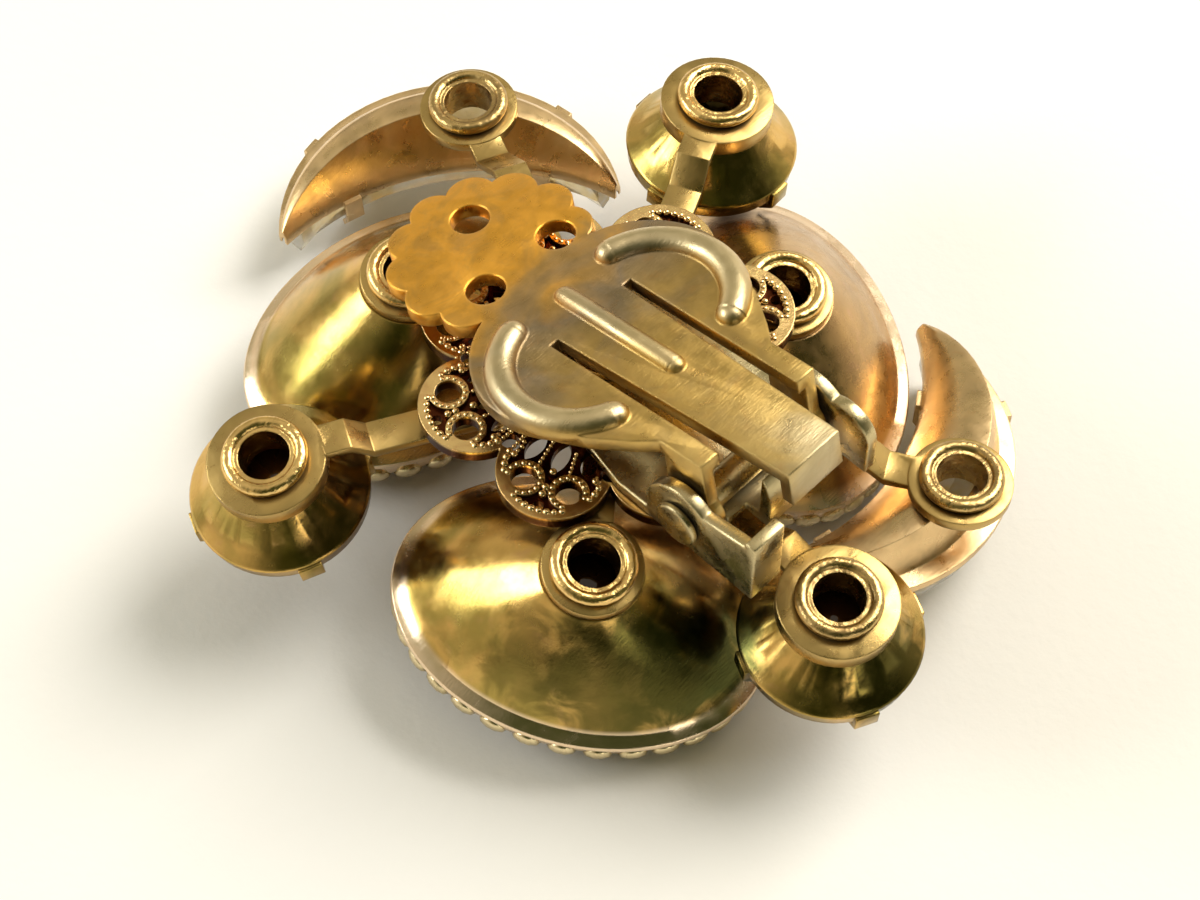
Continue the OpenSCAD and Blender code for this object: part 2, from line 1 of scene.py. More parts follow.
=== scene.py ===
"""Looks of a clip-on cluster earring lying on its stones with its back up.

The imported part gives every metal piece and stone. This script finishes them, rounds their
edges, adds the teeth of the oval cups and the beaded wires of the pierced plate, and sets a
plain pale floor with soft light round the earring. Lengths are metres, in the part's own frame.
"""

from __future__ import annotations

import logging
import math
import random
from collections.abc import Iterable, Sequence
from dataclasses import dataclass, replace
from enum import Enum

import bpy
from mathutils import Matrix, Vector

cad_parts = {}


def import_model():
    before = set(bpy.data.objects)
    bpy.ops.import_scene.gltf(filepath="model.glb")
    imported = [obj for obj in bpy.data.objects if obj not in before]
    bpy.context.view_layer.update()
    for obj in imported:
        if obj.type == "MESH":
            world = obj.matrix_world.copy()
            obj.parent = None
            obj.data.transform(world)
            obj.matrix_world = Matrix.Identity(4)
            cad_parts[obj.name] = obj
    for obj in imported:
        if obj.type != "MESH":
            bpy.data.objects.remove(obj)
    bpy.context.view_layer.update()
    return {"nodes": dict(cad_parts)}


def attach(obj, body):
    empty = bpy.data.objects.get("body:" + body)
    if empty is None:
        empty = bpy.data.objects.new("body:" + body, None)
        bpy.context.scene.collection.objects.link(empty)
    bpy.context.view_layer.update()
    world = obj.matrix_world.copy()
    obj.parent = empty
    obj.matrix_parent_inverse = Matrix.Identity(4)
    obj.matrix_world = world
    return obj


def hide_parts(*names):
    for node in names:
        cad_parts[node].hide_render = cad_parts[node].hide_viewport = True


LOG = logging.getLogger("earring")
MM = 0.001
# Centre of the pierced plate
PLATE_X = -0.45 * MM
PLATE_Y = -1.61 * MM
# Unit vectors along Y, from the hinge to the flower pad, and along Z
AHEAD = (0.0, 1.0, 0.0)
UP = (0.0, 0.0, 1.0)
Color = tuple[float, float, float]
Point = tuple[float, float, float]
Socket = bpy.types.NodeSocket
Piece = bpy.types.Object


class Body(Enum):
    """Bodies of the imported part."""

    SETTING = "setting"
    CLIP = "clip"


class Slot(Enum):
    """Material slots of the record."""

    SHEET = "sheet_metal"
    GILT = "gilt_metal"
    CUP = "cup_metal"
    CLIP = "clip_metal"
    PALE = "pale_metal"
    GOLDEN = "golden_stone"
    CLEAR = "clear_stone"


class Step(Enum):
    """Arithmetic steps on shader values."""

    ADD = "ADD"
    SUBTRACT = "SUBTRACT"
    MULTIPLY = "MULTIPLY"


class Measure(Enum):
    """What is measured between a place and a vector."""

    ALONG = "DOT_PRODUCT"
    DISTANCE = "DISTANCE"


class Blend(Enum):
    """How two colours are mixed."""

    MIX = "MIX"
    MULTIPLY = "MULTIPLY"


class Run(Enum):
    """How a colour ramp runs between its stops."""

    LINEAR = "LINEAR"
    EASE = "EASE"


# Materials


class Nodes:
    """Steps in a node tree that start from the places of a surface or of the sky."""

    # Places of the colour sockets on a Mix node
    color_a = 6
    color_b = 7
    mixed_color = 2

    def __init__(self, tree: bpy.types.NodeTree, coordinates: str) -> None:
        """Takes a tree and the coordinates that its patterns read.

        Args:
            tree: The node tree.
            coordinates: The coordinates' name.
        """
        self.tree = tree
        self.place = tree.nodes.new("ShaderNodeTexCoord").outputs[coordinates]

    def join(self, source: Socket | float | Color, target: Socket) -> None:
        """Gives an input what it takes.

        Args:
            source: An output to link, or a plain number or colour.
            target: The input.
        """
        if isinstance(source, tuple):
            target.default_value = (*source, 1.0)
        elif isinstance(source, (int, float)):
            target.default_value = source
        else:
            self.tree.links.new(source, target)

    def measure(self, kind: Measure, vector: Sequence[float]) -> Socket:
        """Measures every place against a vector.

        Args:
            kind: The way along the vector, or the distance from it.
            vector: A direction or a point.

        Returns:
            The measure's socket.
        """
        node = self.tree.nodes.new("ShaderNodeVectorMath")
        node.operation = kind.value
        node.inputs[1].default_value = vector
        self.join(self.place, node.inputs[0])
        return node.outputs["Value"]

    def mix(
        self,
        factor: Socket | float,
        a: Socket | Color,
        b: Socket | Color,
        blend: Blend = Blend.MIX,
    ) -> Socket:
        """Mixes two colours.

        Args:
            factor: Share of the second colour.
            a: The first colour.
            b: The second colour.
            blend: The way of mixing.

        Returns:
            The mixed colour's socket.
        """
        node = self.tree.nodes.new("ShaderNodeMix")
        node.data_type = "RGBA"
        node.blend_type = blend.value
        self.join(factor, node.inputs["Factor"])
        self.join(a, node.inputs[self.color_a])
        self.join(b, node.inputs[self.color_b])
        return node.outputs[self.mixed_color]

    def ramp(
        self, value: Socket, stops: Sequence[tuple[float, Color]], run: Run = Run.LINEAR
    ) -> Socket:
        """A colour ramp.

        Args:
            value: The value that runs along the ramp.
            stops: Positions from 0 to 1, each with its colour.
            run: How the ramp runs between them.

        Returns:
            The colour's socket.
        """
        node = self.tree.nodes.new("ShaderNodeValToRGB")
        node.color_ramp.interpolation = run.value
        elements = node.color_ramp.elements
        while len(elements) < len(stops):
            elements.new(0.5)
        for element, (position, color) in zip(elements, stops, strict=True):
            element.position = position
            element.color = (*color, 1.0)
        self.join(value, node.inputs["Fac"])
        return node.outputs["Color"]


class Shader(Nodes):
    """One material with a principled shader, built in Object coordinates."""

    # Rays that look for the walls of a crevice and for the faces round an edge
    crevice_rays = 8
    edge_rays = 6
    # How a seed moves a pattern along each axis
    seed_shares = (1.0, 0.7, -0.4)

    def __init__(self, name: str) -> None:
        """Starts the material.

        Args:
            name: The material's name.
        """
        self.material = bpy.data.materials.new(name)
        self.material.use_nodes = True
        tree = self.material.node_tree
        tree.nodes.clear()
        super().__init__(tree, "Object")
        output = tree.nodes.new("ShaderNodeOutputMaterial")
        self.bsdf = tree.nodes.new("ShaderNodeBsdfPrincipled")
        self.join(self.bsdf.outputs["BSDF"], output.inputs["Surface"])

    def noise(
        self,
        size: float,
        detail: float = 4.0,
        rough: float = 0.55,
        warp: float = 0.0,
        stretch: Point = (1.0, 1.0, 1.0),
        seed: float = 0.0,
    ) -> Socket:
        """A noise of one feature size.

        Args:
            size: Feature size in metres.
            detail: Number of finer layers.
            rough: Strength of the finer layers.
            warp: Distortion of the pattern.
            stretch: Scale of the coordinates along each axis.
            seed: Offset that picks another part of the pattern.

        Returns:
            The noise value's socket.
        """
        node = self.tree.nodes.new("ShaderNodeTexNoise")
        node.inputs["Scale"].default_value = 1.0 / size
        node.inputs["Detail"].default_value = detail
        node.inputs["Roughness"].default_value = rough
        node.inputs["Distortion"].default_value = warp
        mapping = self.tree.nodes.new("ShaderNodeMapping")
        mapping.inputs["Location"].default_value = [seed * share for share in self.seed_shares]
        mapping.inputs["Scale"].default_value = stretch
        self.join(self.place, mapping.inputs["Vector"])
        self.join(mapping.outputs["Vector"], node.inputs["Vector"])
        return node.outputs["Fac"]

    def ranged(
        self, value: Socket, low: float, high: float, to_low: float = 0.0, to_high: float = 1.0
    ) -> Socket:
        """Eases a value's range to another and clamps it there.

        Args:
            value: The value.
            low: Value that gives to_low.
            high: Value that gives to_high.
            to_low: Result at and under low.
            to_high: Result at and over high.

        Returns:
            The result's socket.
        """
        node = self.tree.nodes.new("ShaderNodeMapRange")
        node.interpolation_type = "SMOOTHSTEP"
        node.inputs["From Min"].default_value = low
        node.inputs["From Max"].default_value = high
        node.inputs["To Min"].default_value = to_low
        node.inputs["To Max"].default_value = to_high
        self.join(value, node.inputs["Value"])
        return node.outputs["Result"]

    def math(self, step: Step, a: Socket, b: Socket | float) -> Socket:
        """One arithmetic step on two values.

        Args:
            step: The step.
            a: The first value.
            b: The second value.

        Returns:
            The result's socket.
        """
        node = self.tree.nodes.new("ShaderNodeMath")
        node.operation = step.value
        self.join(a, node.inputs[0])
        self.join(b, node.inputs[1])
        return node.outputs["Value"]

    def patches(
        self,
        pattern: Socket,
        low: float,
        high: float,
        share: float,
        color: Socket | Color,
        tint: Color,
    ) -> Socket:
        """Lays a tint over a colour in soft patches.

        Args:
            pattern: The noise that the patches follow.
            low: Its value where a patch starts.
            high: Its value in a patch's middle.
            share: How far the tint covers the colour there.
            color: The colour.
            tint: The tint.

        Returns:
            The colour's socket.
        """
        cover = self.math(Step.MULTIPLY, self.ranged(pattern, low, high), share)
        return self.mix(cover, color, tint)

    def crevice(self, reach: float) -> Socket:
        """How open a place is, from 0 in a crevice to 1 in the open.

        Args:
            reach: How far off a wall still counts, in metres.

        Returns:
            The value's socket.
        """
        node = self.tree.nodes.new("ShaderNodeAmbientOcclusion")
        node.samples = self.crevice_rays
        node.inputs["Distance"].default_value = reach
        return node.outputs["AO"]

    def relief(self, layers: Iterable[tuple[Socket, float]], edge: float) -> None:
        """Rounds the edges and adds layers of relief.

        Args:
            layers: Heights from 0 to 1, each with its depth in metres.
            edge: Radius of the softened edges.
        """
        bevel = self.tree.nodes.new("ShaderNodeBevel")
        bevel.samples = self.edge_rays
        bevel.inputs["Radius"].default_value = edge
        normal = bevel.outputs["Normal"]
        for height, depth in layers:
            bump = self.tree.nodes.new("ShaderNodeBump")
            bump.inputs["Strength"].default_value = 1.0
            bump.inputs["Distance"].default_value = depth
            self.join(height, bump.inputs["Height"])
            self.join(normal, bump.inputs["Normal"])
            normal = bump.outputs["Normal"]
        self.join(normal, self.bsdf.inputs["Normal"])


@dataclass(frozen=True)
class Metal:
    """A gilt or plated metal with soft clouds of tarnish, fine scratches, and dirt and painted
    shade in its corners.

    Args:
        name: The material's name.
        base: Colour of the clean metal.
        cloud: Colour of the broad tarnish.
        warm: Colour of small warm stains.
        dirt_and_shade: Colour of the dirt and painted shade in crevices.
        smooth: Roughness of the polished places.
        dull: Roughness of the worn places.
        cloud_size: Size of the tarnish clouds.
        cloud_share: How far the clouds cover the metal.
        dent: Depth of the broad unevenness.
        dent_size: Size of the broad unevenness.
        grain: Depth of the fine grain.
        edge: Radius of the softened edges.
        shade_and_dirt_reach: How far the dirt and painted shade creep out of a corner.
        stain_scale: Size of the stains against the clouds.
        stain_share: How far the stains cover the metal.
        shade_and_dirt_share: How far the dirt and painted shade cover the metal.
        dirt_rough: Roughness that the dirt adds.
        wear_size: Size of the worn places.
        scratch_size: Width of the scratches.
        scratch_stretch: Scale of the scratches' coordinates along each axis.
        scratch_scale: Depth of the scratches against the grain.
        grain_size: Size of the fine grain.
    """

    name: str
    base: Color
    cloud: Color
    warm: Color
    dirt_and_shade: Color
    smooth: float = 0.16
    dull: float = 0.34
    cloud_size: float = 2.4 * MM
    cloud_share: float = 0.5
    dent: float = 0.03 * MM
    dent_size: float = 2.2 * MM
    grain: float = 0.004 * MM
    edge: float = 0.08 * MM
    shade_and_dirt_reach: float = 0.7 * MM
    stain_scale: float = 0.37
    stain_share: float = 0.4
    shade_and_dirt_share: float = 0.75
    dirt_rough: float = 0.3
    wear_size: float = 0.9 * MM
    scratch_size: float = 0.5 * MM
    scratch_stretch: Point = (1.0, 7.0, 2.0)
    scratch_scale: float = 1.5
    grain_size: float = 0.12 * MM

    def tone(self, shader: Shader) -> Socket:
        """The metal's colour before the dirt and painted shade in its crevices.

        Args:
            shader: The material that is being built.

        Returns:
            The colour's socket.
        """
        clouds = shader.noise(self.cloud_size, detail=3, rough=0.5, warp=0.6)
        color = shader.patches(clouds, 0.36, 0.68, self.cloud_share, self.base, self.cloud)
        size = self.cloud_size * self.stain_scale
        stains = shader.noise(size, detail=5, rough=0.6, warp=0.3, seed=3.1)
        return shader.patches(stains, 0.55, 0.75, self.stain_share, color, self.warm)

    def build(self) -> bpy.types.Material:
        """Builds the material.

        Returns:
            The material.
        """
        shader = Shader(self.name)
        color = self.tone(shader)
        # Dirt and painted shade: the colour darkens where ambient occlusion finds walls close by.
        openness = shader.ranged(shader.crevice(self.shade_and_dirt_reach), 0.2, 0.72)
        shade_and_grime = shader.math(Step.SUBTRACT, shader.math(Step.MULTIPLY, openness, -1.0), -1.0)
        share = shader.math(Step.MULTIPLY, shade_and_grime, self.shade_and_dirt_share)
        shader.join(shader.mix(share, color, self.dirt_and_shade), shader.bsdf.inputs["Base Color"])
        shader.join(1.0, shader.bsdf.inputs["Metallic"])
        wear = shader.noise(self.wear_size, detail=6, rough=0.65, warp=0.2, seed=5.3)
        rough = shader.ranged(wear, 0.3, 0.75, self.smooth, self.dull)
        dirt_rough = shader.math(Step.MULTIPLY, shade_and_grime, self.dirt_rough)
        rough = shader.math(Step.ADD, rough, dirt_rough)
        shader.join(rough, shader.bsdf.inputs["Roughness"])
        broad = shader.noise(self.dent_size, detail=2, rough=0.4, warp=0.2, seed=1.7)
        scratch = shader.noise(
            self.scratch_size, detail=3, rough=0.6, stretch=self.scratch_stretch, seed=8.1
        )
        fine = shader.noise(self.grain_size, detail=4, rough=0.7, seed=2.2)
        scratch_depth = self.grain * self.scratch_scale
        layers = ((broad, self.dent), (scratch, scratch_depth), (fine, self.grain))
        shader.relief(layers, self.edge)
        return shader.material


@dataclass(frozen=True)
class DarkReflectionSpot:
    """One dark spot painted on the metal as a dark reflection.

    Args:
        x: X of its middle.
        y: Y of its middle.
        z: Z of its middle.
        reach: How far it spreads.
        share: How dark it is.
        tint: Its colour.
    """

    x: float
    y: float
    z: float
    reach: float
    share: float
    tint: Color = (0.075, 0.065, 0.014)


@dataclass(frozen=True)
class CupMetal(Metal):
    """The polished cups' metal, tarnished in spots and worn pale at the rim.

    Args:
        spots: The painted dark reflections.
        spot_core: Share of a spot's reach over which it is darkest.
        wander: How far the spots' outlines wander.
        wander_size: Over what length they wander.
        rim: Colour of the painted pale reflection on the rim.
        rim_axis: The cup's own axis.
        rim_level: How far along that axis the rim starts.
        rim_blur: How soft its start is.
        rim_share: How far the pale colour covers the rim.
    """

    spots: tuple[DarkReflectionSpot, ...] = ()
    spot_core: float = 0.45
    wander: float = 0.8 * MM
    wander_size: float = 1.7 * MM
    rim: Color = (0.95, 0.74, 0.52)
    rim_axis: Point = UP
    rim_level: float = 0.0
    rim_blur: float = 0.15 * MM
    rim_share: float = 0.85

    def tone(self, shader: Shader) -> Socket:
        """The metal's colour before the dirt and painted shade in its crevices, with its painted
        dark reflections and its painted pale rim.

        Args:
            shader: The material that is being built.

        Returns:
            The colour's socket.
        """
        color = super().tone(shader)
        pattern = shader.noise(self.wander_size, detail=4, rough=0.55, warp=0.6, seed=9.2)
        wander = shader.ranged(pattern, 0.3, 0.7, -self.wander, self.wander)
        # Painted dark reflections: dark spots at fixed places on the flanks.
        for spot in self.spots:
            away = shader.measure(Measure.DISTANCE, (spot.x, spot.y, spot.z))
            away = shader.math(Step.ADD, away, wander)
            core = spot.reach * self.spot_core
            share = shader.ranged(away, core, spot.reach, spot.share, 0.0)
            color = shader.mix(share, color, spot.tint)
        # Painted pale reflection on the rim band, below the rim level along the cup's axis.
        along = shader.measure(Measure.ALONG, self.rim_axis)
        low, high = self.rim_level - self.rim_blur, self.rim_level + self.rim_blur
        paled = shader.ranged(along, low, high, self.rim_share, 0.0)
        return shader.mix(paled, color, self.rim)


@dataclass(frozen=True)
class PaddleMetal(Metal):
    """The paddle's metal: coppery on the flower, grey at the neck, khaki and pale on the tongue.

    Args:
        stops: Colours along the paddle, each at its Y.
        wander: How far the colours' bounds wander.
        wander_size: Over what length they wander.
        speck_size: Size of the warm specks.
        speck_share: How far the specks cover the metal.
        rib: Colour of the ribs, where the gilt is worn pale.
        rib_share: How far that colour covers them.
        pitch: Slope of the closed paddle in degrees.
        pin_y: Y of the hinge pin.
        pin_z: Z of the hinge pin.
        sheet_top: Height over the pin, square to the sheet, where the ribs start.
        rib_top: The same for the ribs' tops.
    """

    stops: tuple[tuple[float, Color], ...] = (
        (-12.6 * MM, (0.54, 0.44, 0.25)),
        (-10.4 * MM, (0.6, 0.42, 0.15)),
        (-6.0 * MM, (0.58, 0.38, 0.11)),
        (-3.2 * MM, (0.52, 0.34, 0.11)),
        (-0.6 * MM, (0.32, 0.24, 0.15)),
        (1.2 * MM, (0.6, 0.36, 0.12)),
        (2.8 * MM, (1.0, 0.5, 0.07)),
        (7.0 * MM, (0.96, 0.48, 0.07)),
    )
    wander: float = 1.1 * MM
    wander_size: float = 3.2 * MM
    speck_size: float = 0.6 * MM
    speck_share: float = 0.3
    rib: Color = (0.68, 0.56, 0.33)
    rib_share: float = 0.8
    pitch: float = 12.0
    pin_y: float = -8.81 * MM
    pin_z: float = 10.0 * MM
    sheet_top: float = 2.85 * MM
    rib_top: float = 3.15 * MM

    def tone(self, shader: Shader) -> Socket:
        """The metal's colour before the dirt and painted shade in its crevices, changing along the
        paddle.

        Args:
            shader: The material that is being built.

        Returns:
            The colour's socket.
        """
        low, high = self.stops[0][0], self.stops[-1][0]
        pattern = shader.noise(self.wander_size, detail=3, rough=0.5, warp=0.8, seed=4.4)
        wander = shader.ranged(pattern, 0.3, 0.7, -self.wander, self.wander)
        along = shader.math(Step.ADD, shader.measure(Measure.ALONG, AHEAD), wander)
        share = shader.ranged(along, low, high)
        eased = [(self.ease((y - low) / (high - low)), color) for y, color in self.stops]
        color = shader.ramp(share, eased)
        clouds = shader.noise(self.cloud_size, detail=4, rough=0.6, warp=0.7)
        color = shader.patches(clouds, 0.42, 0.7, self.cloud_share, color, self.cloud)
        specks = shader.noise(self.speck_size, detail=5, rough=0.6, warp=0.2, seed=6.6)
        color = shader.patches(specks, 0.5, 0.8, self.speck_share, color, self.warm)
        height = self.height(shader)
        paled = shader.ranged(height, self.sheet_top, self.rib_top, 0.0, self.rib_share)
        return shader.mix(paled, color, self.rib)

    def height(self, shader: Shader) -> Socket:
        """Height over the pin, square to the paddle's sheet.

        Args:
            shader: The material that is being built.

        Returns:
            The height's socket.
        """
        pitch = math.radians(self.pitch)
        rise = shader.math(Step.SUBTRACT, shader.measure(Measure.ALONG, UP), self.pin_z)
        run = shader.math(Step.SUBTRACT, shader.measure(Measure.ALONG, AHEAD), self.pin_y)
        rise = shader.math(Step.MULTIPLY, rise, math.cos(pitch))
        run = shader.math(Step.MULTIPLY, run, math.sin(pitch))
        return shader.math(Step.ADD, rise, run)

    @staticmethod
    def ease(share: float) -> float:
        """The easing of a shader's ranged(), which the ramp's stops have to follow."""
        return share * share * (3 - 2 * share)


@dataclass(frozen=True)
class PlateMetal(Metal):
    """The pierced plate's gilt: bright wires over a dark red-brown ground of dirt and painted
    shade.

    Args:
        ground_z: Height of the ground.
        wire_z: Height of the wires' tops.
    """

    ground_z: float = 8.43 * MM
    wire_z: float = 8.6 * MM

    def tone(self, shader: Shader) -> Socket:
        """The colour before the dirt and painted shade in its crevices, with the ground painted
        dark as dirt and shade and the wires gilt.

        Args:
            shader: The material that is being built.

        Returns:
            The colour's socket.
        """
        color = super().tone(shader)
        # Dirt and painted shade: the ground under the wires' tops takes the dark crevice colour.
        height = shader.ranged(shader.measure(Measure.ALONG, UP), self.ground_z, self.wire_z)
        return shader.mix(height, self.dirt_and_shade, color)


@dataclass(frozen=True)
class Stone:
    """A cut glass stone.

    Args:
        name: The material's name.
        tint: Colour of the glass.
        depth: Colour of streaks in the glass.
        clear: Share of light that passes.
        foil_z: Height above which the stone's back has its dark foil.
        foil: Colour of the foil.
        foil_blur: How soft the foil's edge is.
        streak: How strongly the streaks show.
        streak_size: Size of the streaks.
        bend: How strongly the glass bends light.
        smear_size: Size of the smears on the glass.
        smear_depth: Depth of the smears.
        edge: Radius of the softened edges.
    """

    name: str
    tint: Color
    depth: Color
    clear: float = 0.9
    foil_z: float = 1.0
    foil: Color = (0.05, 0.022, 0.008)
    foil_blur: float = 0.2 * MM
    streak: float = 0.35
    streak_size: float = 1.6 * MM
    bend: float = 1.56
    smear_size: float = 0.8 * MM
    smear_depth: float = 0.003 * MM
    edge: float = 0.03 * MM

    def build(self) -> bpy.types.Material:
        """Builds the material.

        Returns:
            The material.
        """
        shader = Shader(self.name)
        streaks = shader.noise(self.streak_size, detail=3, rough=0.5, warp=0.5)
        color = shader.patches(streaks, 0.4, 0.62, self.streak, self.tint, self.depth)
        low, high = self.foil_z - self.foil_blur, self.foil_z + self.foil_blur
        foiled = shader.ranged(shader.measure(Measure.ALONG, UP), low, high)
        shader.join(shader.mix(foiled, color, self.foil), shader.bsdf.inputs["Base Color"])
        passing = shader.math(Step.MULTIPLY, foiled, -self.clear)
        passing = shader.math(Step.ADD, passing, self.clear)
        shader.join(passing, shader.bsdf.inputs["Transmission Weight"])
        shader.join(self.bend, shader.bsdf.inputs["IOR"])
        smear = shader.noise(self.smear_size, detail=4, rough=0.6, seed=2.0)
        shader.join(shader.ranged(smear, 0.4, 0.8, 0.02, 0.09), shader.bsdf.inputs["Roughness"])
        shader.relief(((smear, self.smear_depth),), self.edge)
        return shader.material


@dataclass(frozen=True)
class FloorFinish:
    """The pale, slightly warm floor.

    Args:
        tint: Main colour.
        shade: Colour of faint clouds.
        cloud_size: Size of the clouds.
        rough: Its roughness.
        gloss: Strength of its reflection.
        grain_size: Size of its grain.
        grain: Depth of its grain.
    """

    tint: Color = (0.9, 0.885, 0.85)
    shade: Color = (0.88, 0.85, 0.79)
    cloud_size: float = 60 * MM
    rough: float = 0.65
    gloss: float = 0.25
    grain_size: float = 0.6 * MM
    grain: float = 0.02 * MM

    def build(self) -> bpy.types.Material:
        """Builds the material.

        Returns:
            The material.
        """
        shader = Shader("floor_paper")
        clouds = shader.ranged(shader.noise(self.cloud_size, detail=3), 0.35, 0.7)
        color = shader.mix(clouds, self.tint, self.shade)
        shader.join(color, shader.bsdf.inputs["Base Color"])
        shader.join(self.rough, shader.bsdf.inputs["Roughness"])
        shader.join(self.gloss, shader.bsdf.inputs["Specular IOR Level"])
        bump = shader.tree.nodes.new("ShaderNodeBump")
        bump.inputs["Distance"].default_value = self.grain
        shader.join(shader.noise(self.grain_size, detail=4), bump.inputs["Height"])
        shader.join(bump.outputs["Normal"], shader.bsdf.inputs["Normal"])
        return shader.material


CUP_METAL = CupMetal(
    "polished_cups",
    base=(0.66, 0.41, 0.12),
    cloud=(0.27, 0.22, 0.05),
    warm=(0.62, 0.35, 0.17),
    dirt_and_shade=(0.07, 0.033, 0.008),
    smooth=0.14,
    dull=0.3,
    cloud_share=0.74,
    dent=0.05 * MM,
    dent_size=2.8 * MM,
    grain=0.002 * MM,
    # Painted dark reflections on the cups' flanks
    spots=(
        DarkReflectionSpot(-5.4 * MM, -10.6 * MM, 4.4 * MM, 4.2 * MM, 0.95, (0.045, 0.055, 0.014)),
        DarkReflectionSpot(-8.3 * MM, -9.6 * MM, 4.6 * MM, 3.4 * MM, 0.85, (0.08, 0.07, 0.016)),
        DarkReflectionSpot(-10.0 * MM, -7.2 * MM, 4.8 * MM, 2.3 * MM, 0.6, (0.1, 0.08, 0.018)),
        DarkReflectionSpot(-3.4 * MM, -8.2 * MM, 5.6 * MM, 2.7 * MM, 0.6, (0.14, 0.08, 0.025)),
        DarkReflectionSpot(-5.7 * MM, 7.4 * MM, 4.8 * MM, 4.2 * MM, 0.45, (0.25, 0.21, 0.05)),
        DarkReflectionSpot(-1.7 * MM, -16.6 * MM, 5.5 * MM, 3.1 * MM, 0.92),
        DarkReflectionSpot(10.4 * MM, 1.6 * MM, 6.2 * MM, 2.3 * MM, 0.65),
        DarkReflectionSpot(-10.6 * MM, 2.2 * MM, 5.7 * MM, 2.7 * MM, 0.75, (0.13, 0.065, 0.02)),
        DarkReflectionSpot(-2.8 * MM, 3.6 * MM, 5.6 * MM, 2.9 * MM, 0.7, (0.14, 0.08, 0.025)),
    ),
)
ROSY_CUP_METAL = CupMetal(
    "rosy_cup",
    # Its rim band gets the painted pale reflection.
    rim_axis=(-0.0104, -0.0976, 0.9952),
    rim_level=3.5 * MM,
    base=(0.58, 0.36, 0.14),
    cloud=(0.34, 0.21, 0.1),
    warm=(0.6, 0.34, 0.2),
    dirt_and_shade=(0.08, 0.035, 0.012),
    smooth=0.2,
    dull=0.36,
    cloud_share=0.6,
    dent=0.05 * MM,
    dent_size=2.8 * MM,
    grain=0.003 * MM,
)
LEFT_CUP_METAL = replace(
    CUP_METAL,
    name="polished_cup_left",
    # Its rim band gets the painted pale reflection.
    rim_axis=(-0.0487, -0.0785, 0.9957),
    rim_level=2.69 * MM,
)
BOTTOM_CUP_METAL = replace(
    CUP_METAL,
    name="polished_cup_bottom",
    # Its rim band gets the painted pale reflection.
    rim_axis=(-0.043, -0.182, 0.982),
    rim_level=4.85 * MM,
)
CRESCENT_METAL = Metal(
    "beige_crescents",
    base=(0.78, 0.55, 0.28),
    cloud=(0.5, 0.35, 0.18),
    warm=(0.66, 0.4, 0.18),
    dirt_and_shade=(0.12, 0.06, 0.02),
    smooth=0.24,
    dull=0.42,
    cloud_size=1.5 * MM,
    cloud_share=0.6,
    dent=0.05 * MM,
    grain=0.004 * MM,
    shade_and_dirt_reach=0.5 * MM,
)
TOOTH_METAL = Metal(
    "pale_teeth",
    base=(0.8, 0.66, 0.4),
    cloud=(0.55, 0.45, 0.24),
    warm=(0.6, 0.4, 0.2),
    dirt_and_shade=(0.12, 0.07, 0.03),
    smooth=0.2,
    dull=0.34,
    dent=0.0,
    edge=0.03 * MM,
    shade_and_dirt_reach=0.3 * MM,
)
SHEET_METAL = Metal(
    "dull_arms",
    base=(0.56, 0.38, 0.13),
    cloud=(0.34, 0.24, 0.09),
    warm=(0.48, 0.29, 0.12),
    dirt_and_shade=(0.08, 0.045, 0.015),
    smooth=0.24,
    dull=0.42,
)
GILT_METAL = Metal(
    "bright_eyelets",
    base=(0.87, 0.59, 0.22),
    cloud=(0.5, 0.33, 0.12),
    warm=(0.7, 0.36, 0.13),
    dirt_and_shade=(0.1, 0.043, 0.01),
    smooth=0.15,
    dull=0.3,
    cloud_size=0.9 * MM,
    dent=0.06 * MM,
    dent_size=0.42 * MM,
    grain=0.006 * MM,
)
WORN_GILT_METAL = Metal(
    "worn_eyelets",
    base=(0.62, 0.43, 0.17),
    cloud=(0.34, 0.22, 0.09),
    warm=(0.62, 0.33, 0.12),
    dirt_and_shade=(0.08, 0.035, 0.01),
    smooth=0.2,
    dull=0.38,
    cloud_size=0.8 * MM,
    cloud_share=0.7,
    dent=0.06 * MM,
    dent_size=0.42 * MM,
    grain=0.006 * MM,
)
PLATE_METAL = PlateMetal(
    "pierced_gilt",
    base=(0.85, 0.6, 0.25),
    cloud=(0.6, 0.34, 0.14),
    warm=(0.62, 0.26, 0.1),
    dirt_and_shade=(0.07, 0.018, 0.006),
    smooth=0.15,
    dull=0.3,
    cloud_size=0.8 * MM,
    edge=0.05 * MM,
    shade_and_dirt_reach=0.5 * MM,
)
BEAD_METAL = Metal(
    "beaded_gilt",
    base=(0.95, 0.7, 0.34),
    cloud=(0.7, 0.42, 0.18),
    warm=(0.7, 0.32, 0.12),
    dirt_and_shade=(0.1, 0.03, 0.01),
    smooth=0.12,
    dull=0.26,
    cloud_size=0.6 * MM,
    dent=0.0,
    edge=0.02 * MM,
    shade_and_dirt_reach=0.22 * MM,
)
PADDLE_METAL = PaddleMetal(
    "coppery_paddle",
    base=(0.5, 0.33, 0.14),
    cloud=(0.28, 0.2, 0.1),
    warm=(0.52, 0.26, 0.07),
    dirt_and_shade=(0.06, 0.03, 0.012),
    smooth=0.26,
    dull=0.44,
    cloud_size=1.8 * MM,
    cloud_share=0.34,
    dent=0.05 * MM,
    grain=0.006 * MM,
    edge=0.14 * MM,
)
PALE_METAL = Metal(
    "pale_bracket",
    base=(0.58, 0.47, 0.25),
    cloud=(0.36, 0.3, 0.17),
    warm=(0.46, 0.3, 0.13),
    dirt_and_shade=(0.07, 0.045, 0.02),
    smooth=0.2,
    dull=0.38,
    edge=0.12 * MM,
)
LARGE_STONE = Stone("golden_glass", (0.8, 0.4, 0.08), (0.55, 0.22, 0.03), 0.8, 2.1 * MM)
